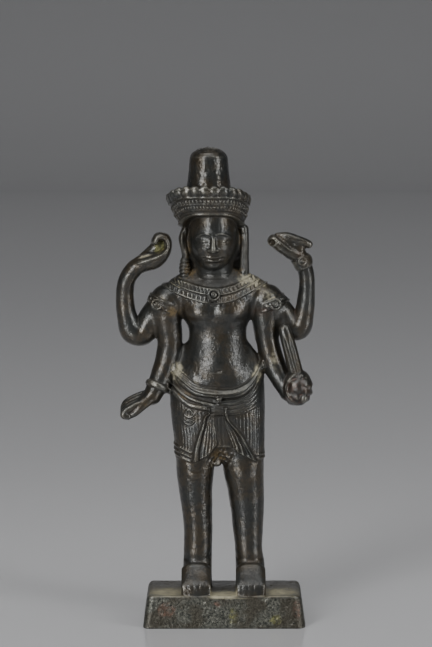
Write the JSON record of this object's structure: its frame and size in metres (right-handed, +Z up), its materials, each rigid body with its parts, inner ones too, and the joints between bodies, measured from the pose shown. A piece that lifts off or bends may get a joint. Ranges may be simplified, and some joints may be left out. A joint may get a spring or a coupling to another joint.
{
  "type": "vishnu figure",
  "caption": "Small cast bronze figure of Vishnu with raised and lowered arms, flared crown and wrapped skirt, standing on a low block cast with it.",
  "frame": {"origin": "middle of the plinth's underside, on the surface that it stands on", "axes": "+Z up along the standing figure, the figure faces -Y, and +X is the viewer's right when looking at its front"},
  "size_m": [0.0662, 0.026, 0.16],
  "materials": {
    "bronze": "dark patinated cast bronze, polished dark on high points, with pale green-tan and ochre deposits in the hollows"
  },
  "bodies": {
    "root": {"vishnu_figure_on_plinth": "bronze"}
  },
  "joints": []
}
